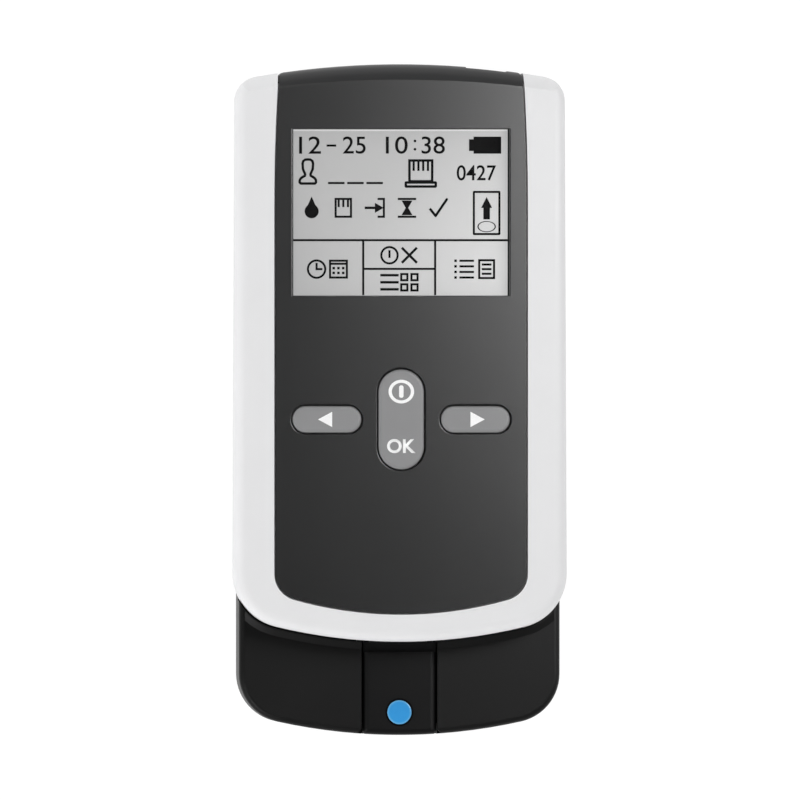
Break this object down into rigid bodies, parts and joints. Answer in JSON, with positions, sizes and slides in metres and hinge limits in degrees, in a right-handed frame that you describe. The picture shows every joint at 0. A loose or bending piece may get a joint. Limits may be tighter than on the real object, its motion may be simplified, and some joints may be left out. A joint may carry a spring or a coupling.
{
  "type": "inr meter",
  "caption": "Hand-held meter that reads blood clotting time from a test card, with a large display, rocker and side keys, and a card slot under a removable cover.",
  "frame": {"origin": "under the middle of the meter's bounding box, on the surface that it lies on", "axes": "+Z out of the display face, +Y towards the display end, +X to the right seen from the front"},
  "size_m": [0.0684, 0.138, 0.0281],
  "materials": {
    "rear_plastic": "fine matt texture",
    "white_plastic": "satin",
    "panel_plastic": "satin",
    "display_window": "clear and polished",
    "frame_plastic": "matt",
    "display_glass": "polished, with a grey reflecting sheet behind it",
    "light_guide": "polished",
    "circuit_board": "green solder mask",
    "chip_resin": "matt",
    "bright_steel": "bright",
    "guide_plastic": "smooth",
    "heater_metal": "satin",
    "key_plastic": "satin grey",
    "cover_plastic": "fine matt texture",
    "dot_plastic": "gloss blue",
    "dome_rubber": "soft silicone",
    "foot_rubber": "matt",
    "cell_jacket": "gloss sleeve",
    "contact_spring": "nickel plated"
  },
  "bodies": {
    "housing": {"rear_shell": "rear_plastic", "front_shell": "white_plastic", "front_panel": "panel_plastic", "display_lens": "display_window", "lcd_frame": "frame_plastic", "lcd_glass": "display_glass", "backlight": "light_guide", "main_board": "circuit_board", "processor_chip": "chip_resin", "clock_cell": "bright_steel", "buzzer": "frame_plastic", "data_port": "bright_steel", "strip_connector": "frame_plastic", "card_guide": "guide_plastic", "heater_block": "heater_metal", "case_screws": "bright_steel", "board_screws": "bright_steel", "left_key_dome": "dome_rubber", "right_key_dome": "dome_rubber", "power_dome": "dome_rubber", "enter_dome": "dome_rubber", "foot_top_right": "foot_rubber", "foot_top_left": "foot_rubber", "foot_low_right": "foot_rubber", "foot_low_left": "foot_rubber", "battery_cell_1": "cell_jacket", "battery_cell_2": "cell_jacket", "battery_cell_3": "cell_jacket", "battery_cell_4": "cell_jacket", "battery_contacts_low": "contact_spring", "battery_contacts_top": "contact_spring"},
    "left_key": {"left_key": "key_plastic"},
    "right_key": {"right_key": "key_plastic"},
    "middle_key": {"middle_key": "key_plastic"},
    "port_cover": {"strip_port_cover": "cover_plastic", "cover_dot": "dot_plastic"},
    "battery_door": {"battery_door": "rear_plastic"}
  },
  "joints": [
    {"name": "left_key_press", "type": "slide", "parent": "housing", "child": "left_key", "axis": [0, 0, -1], "range_m": [0, 0.0008], "stiffness_N_per_m": 1500, "deforming": ["left_key_dome"]},
    {"name": "right_key_press", "type": "slide", "parent": "housing", "child": "right_key", "axis": [0, 0, -1], "range_m": [0, 0.0008], "stiffness_N_per_m": 1500, "deforming": ["right_key_dome"]},
    {"name": "middle_key_rock", "type": "hinge", "parent": "housing", "child": "middle_key", "pos_m": [0, -0.00405, 0.0247], "axis": [1, 0, 0], "range_deg": [-2.5, 2.5], "stiffness_Nm_per_rad": 0.3, "deforming": ["power_dome", "enter_dome"]},
    {"name": "cover_slide", "type": "slide", "parent": "housing", "child": "port_cover", "axis": [0, -1, 0], "range_m": [0, 0.015]},
    {"name": "battery_door_hinge", "type": "hinge", "parent": "housing", "child": "battery_door", "pos_m": [0, -0.027, 0.0008], "axis": [-1, 0, 0], "range_deg": [0, 35]}
  ]
}
